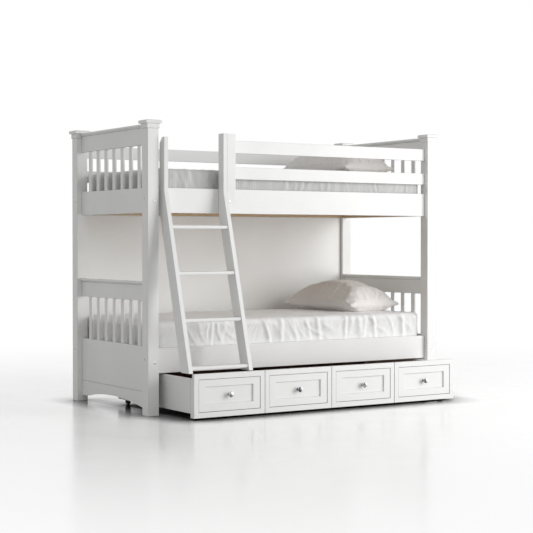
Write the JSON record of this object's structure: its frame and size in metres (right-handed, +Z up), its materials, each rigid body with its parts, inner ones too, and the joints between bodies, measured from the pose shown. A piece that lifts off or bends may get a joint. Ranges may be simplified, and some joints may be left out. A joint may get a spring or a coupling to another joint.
{
  "type": "bunk bed",
  "caption": "Bunk bed with slatted ends, a leaning cranked ladder, guard rails, mattresses and pillows, and a wide rolling drawer underneath on casters.",
  "frame": {"origin": "on the floor, midway between the outermost points of the whole object with its drawer as stored (part pulled out)", "axes": "+X along the bed towards the pillows, +Y towards the back panel, +Z up; the ladder and the drawer's fronts are on the -Y side"},
  "size_m": [2.164, 1.3634, 1.701],
  "materials": {
    "white_paint": "satin white paint on wood",
    "drawer_lining": "brown stained board",
    "bare_pine": "planed, uncoated",
    "sheet": "woven cotton",
    "pillow_case": "woven cotton",
    "chrome": "polished",
    "zinc_steel": "zinc plated",
    "caster_steel": "black powder coat",
    "caster_nylon": "moulded nylon"
  },
  "bodies": {
    "bed": {"back_panel": "white_paint", "barrel_nuts": "zinc_steel", "end_mouldings": "white_paint", "guard_end_post": "white_paint", "guard_low_rail_back": "white_paint", "guard_low_rail_front": "white_paint", "guard_top_rail_back": "white_paint", "guard_top_rail_front": "white_paint", "ladder_rungs": "white_paint", "ladder_stile_left": "white_paint", "ladder_stile_right": "white_paint", "lower_bed_slats": "bare_pine", "lower_end_arch_rail_left": "white_paint", "lower_end_arch_rail_right": "white_paint", "lower_end_panel_left": "white_paint", "lower_end_panel_right": "white_paint", "lower_end_slats_left": "white_paint", "lower_end_slats_right": "white_paint", "lower_end_top_rail_left": "white_paint", "lower_end_top_rail_right": "white_paint", "lower_ledgers": "bare_pine", "lower_mattress": "sheet", "lower_pillow": "pillow_case", "lower_side_rail_back": "white_paint", "lower_side_rail_front": "white_paint", "post_back_left": "white_paint", "post_back_right": "white_paint", "post_caps": "white_paint", "post_front_left": "white_paint", "post_front_right": "white_paint", "rail_bolts": "zinc_steel", "upper_bed_slats": "bare_pine", "upper_end_low_rail_left": "white_paint", "upper_end_low_rail_right": "white_paint", "upper_end_slats_left": "white_paint", "upper_end_slats_right": "white_paint", "upper_end_top_rail_left": "white_paint", "upper_end_top_rail_right": "white_paint", "upper_ledgers": "bare_pine", "upper_mattress": "sheet", "upper_pillow": "pillow_case", "upper_side_rail_back": "white_paint", "upper_side_rail_front": "white_paint"},
    "drawer": {"caster_brackets": "caster_steel", "drawer_back": "drawer_lining", "drawer_dividers": "drawer_lining", "drawer_face_frames": "white_paint", "drawer_false_fronts": "white_paint", "drawer_floor": "drawer_lining", "drawer_front_board": "white_paint", "drawer_knobs": "chrome", "drawer_sides": "white_paint"},
    "wheel_back_1_body": {"wheel_back_1": "caster_nylon"},
    "wheel_back_2_body": {"wheel_back_2": "caster_nylon"},
    "wheel_back_3_body": {"wheel_back_3": "caster_nylon"},
    "wheel_back_4_body": {"wheel_back_4": "caster_nylon"},
    "wheel_front_1_body": {"wheel_front_1": "caster_nylon"},
    "wheel_front_2_body": {"wheel_front_2": "caster_nylon"},
    "wheel_front_3_body": {"wheel_front_3": "caster_nylon"},
    "wheel_front_4_body": {"wheel_front_4": "caster_nylon"}
  },
  "joints": [
    {"name": "drawer_roll", "type": "slide", "parent": "bed", "child": "drawer", "axis": [0, -1, 0], "range_m": [-0.324, 0.51]},
    {"name": "wheel_back_1_spin", "type": "hinge", "parent": "drawer", "child": "wheel_back_1_body", "pos_m": [-0.8975, 0.23425, 0.025], "axis": [1, 0, 0], "continuous": true},
    {"name": "wheel_back_2_spin", "type": "hinge", "parent": "drawer", "child": "wheel_back_2_body", "pos_m": [-0.23688, 0.23425, 0.025], "axis": [1, 0, 0], "continuous": true},
    {"name": "wheel_back_3_spin", "type": "hinge", "parent": "drawer", "child": "wheel_back_3_body", "pos_m": [0.23688, 0.23425, 0.025], "axis": [1, 0, 0], "continuous": true},
    {"name": "wheel_back_4_spin", "type": "hinge", "parent": "drawer", "child": "wheel_back_4_body", "pos_m": [0.8975, 0.23425, 0.025], "axis": [1, 0, 0], "continuous": true},
    {"name": "wheel_front_1_spin", "type": "hinge", "parent": "drawer", "child": "wheel_front_1_body", "pos_m": [-0.8975, -0.58975, 0.025], "axis": [1, 0, 0], "continuous": true},
    {"name": "wheel_front_2_spin", "type": "hinge", "parent": "drawer", "child": "wheel_front_2_body", "pos_m": [-0.23688, -0.58975, 0.025], "axis": [1, 0, 0], "continuous": true},
    {"name": "wheel_front_3_spin", "type": "hinge", "parent": "drawer", "child": "wheel_front_3_body", "pos_m": [0.23688, -0.58975, 0.025], "axis": [1, 0, 0], "continuous": true},
    {"name": "wheel_front_4_spin", "type": "hinge", "parent": "drawer", "child": "wheel_front_4_body", "pos_m": [0.8975, -0.58975, 0.025], "axis": [1, 0, 0], "continuous": true}
  ]
}
